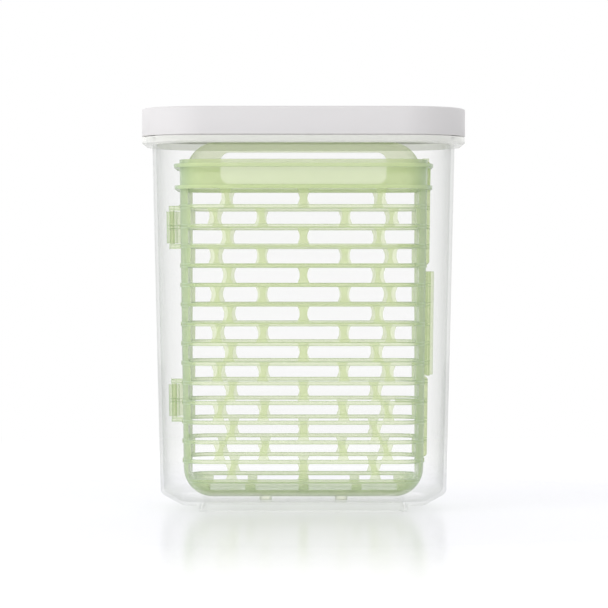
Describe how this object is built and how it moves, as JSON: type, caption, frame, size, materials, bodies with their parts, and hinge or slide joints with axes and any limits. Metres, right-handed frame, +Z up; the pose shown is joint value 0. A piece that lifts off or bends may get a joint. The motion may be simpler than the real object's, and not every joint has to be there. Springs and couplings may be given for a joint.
{
  "type": "herb keeper",
  "caption": "Clear rounded-rectangular water container with a plain lid and a lift-out hinged grille basket with an arched handle, for keeping cut herbs fresh.",
  "frame": {"origin": "middle of the footprint, on the surface that the container stands on", "axes": "+Z up, +X to the right along the long side, front faces -Y, the basket's handle is on its back half"},
  "size_m": [0.17, 0.114, 0.211],
  "materials": {
    "clear_plastic": "clear gloss",
    "white_plastic": "opaque satin",
    "green_plastic": "translucent gloss"
  },
  "bodies": {
    "container": {"container": "clear_plastic"},
    "basket": {"basket_front": "green_plastic", "basket_back": "green_plastic"},
    "lid": {"lid": "white_plastic"},
    "latch": {"basket_latch": "green_plastic"}
  },
  "joints": [
    {"name": "basket_lift", "type": "slide", "parent": "container", "child": "basket", "axis": [0, 0, 1], "range_m": [0, 0.21]},
    {"name": "lid_lift", "type": "slide", "parent": "basket", "child": "lid", "axis": [0, 0, 1], "range_m": [0, 0.1]},
    {"name": "latch_flex", "type": "hinge", "parent": "basket", "child": "latch", "pos_m": [0.06706, -0.014, 0.0982], "axis": [-0.0131, 0, -0.9999], "range_deg": [0, 8], "stiffness_Nm_per_rad": 0.1}
  ]
}
